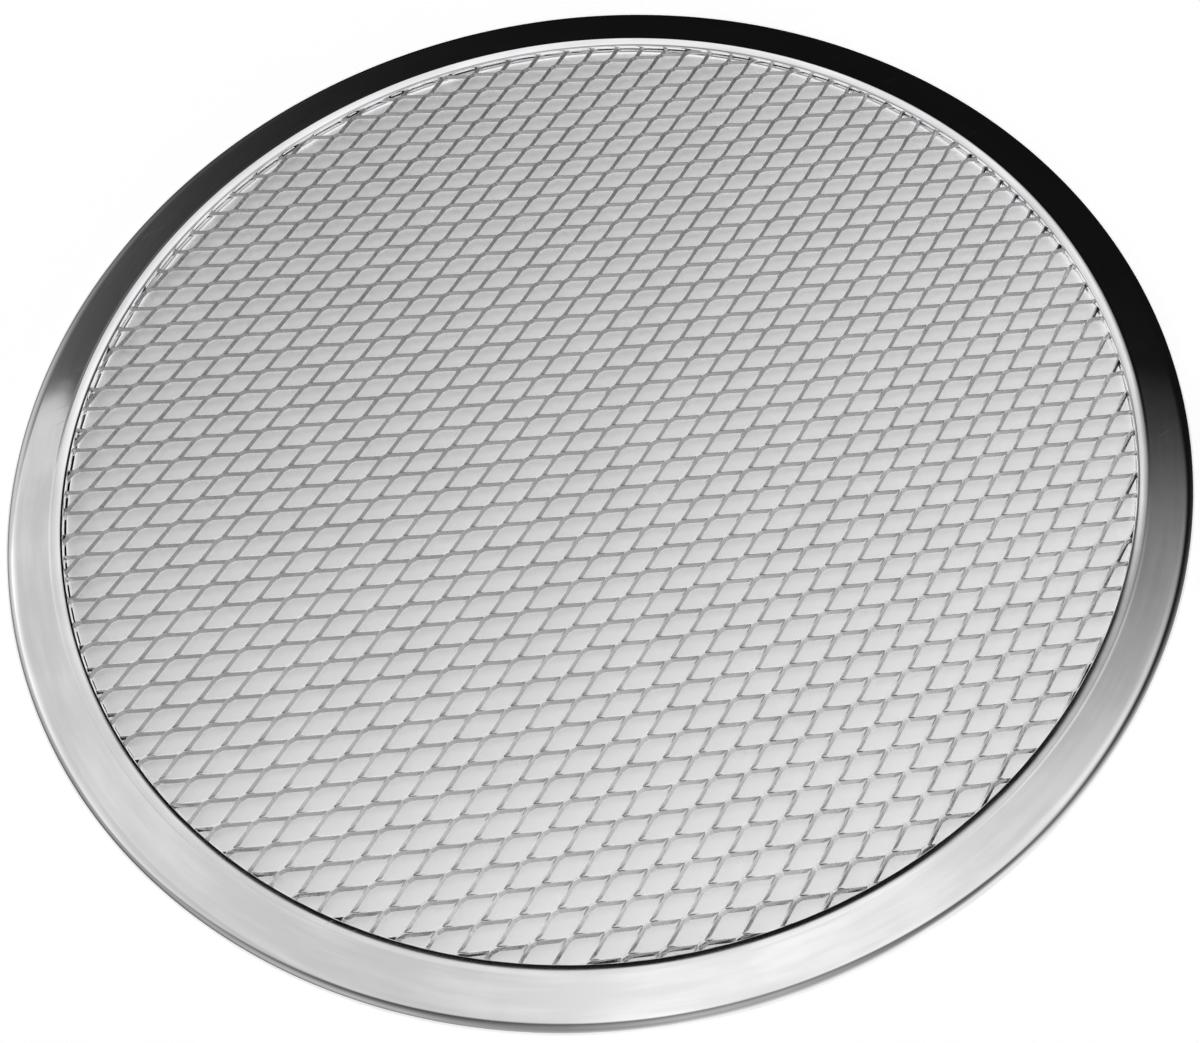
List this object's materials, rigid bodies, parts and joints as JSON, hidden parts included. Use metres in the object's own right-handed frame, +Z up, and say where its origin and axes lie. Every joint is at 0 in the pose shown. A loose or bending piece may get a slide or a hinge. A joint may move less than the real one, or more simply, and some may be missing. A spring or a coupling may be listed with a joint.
{
  "type": "pizza screen",
  "caption": "Flat round baking screen: a disc of raised expanded aluminium mesh clamped in a folded aluminium rim, used under a pizza in the oven.",
  "frame": {"origin": "centre of the lower face of the rim, on the surface that the screen rests on", "axes": "+Z up through the screen, +X along the long way of the mesh openings, +Y along their short way"},
  "size_m": [0.254, 0.254, 0.0038],
  "materials": {
    "rim_aluminium": "spun satin, with fine marks round the rim",
    "mesh_aluminium": "mill finish, bright on the sheared edges"
  },
  "bodies": {
    "root": {"rim": "rim_aluminium", "mesh_disc": "mesh_aluminium"}
  },
  "joints": []
}
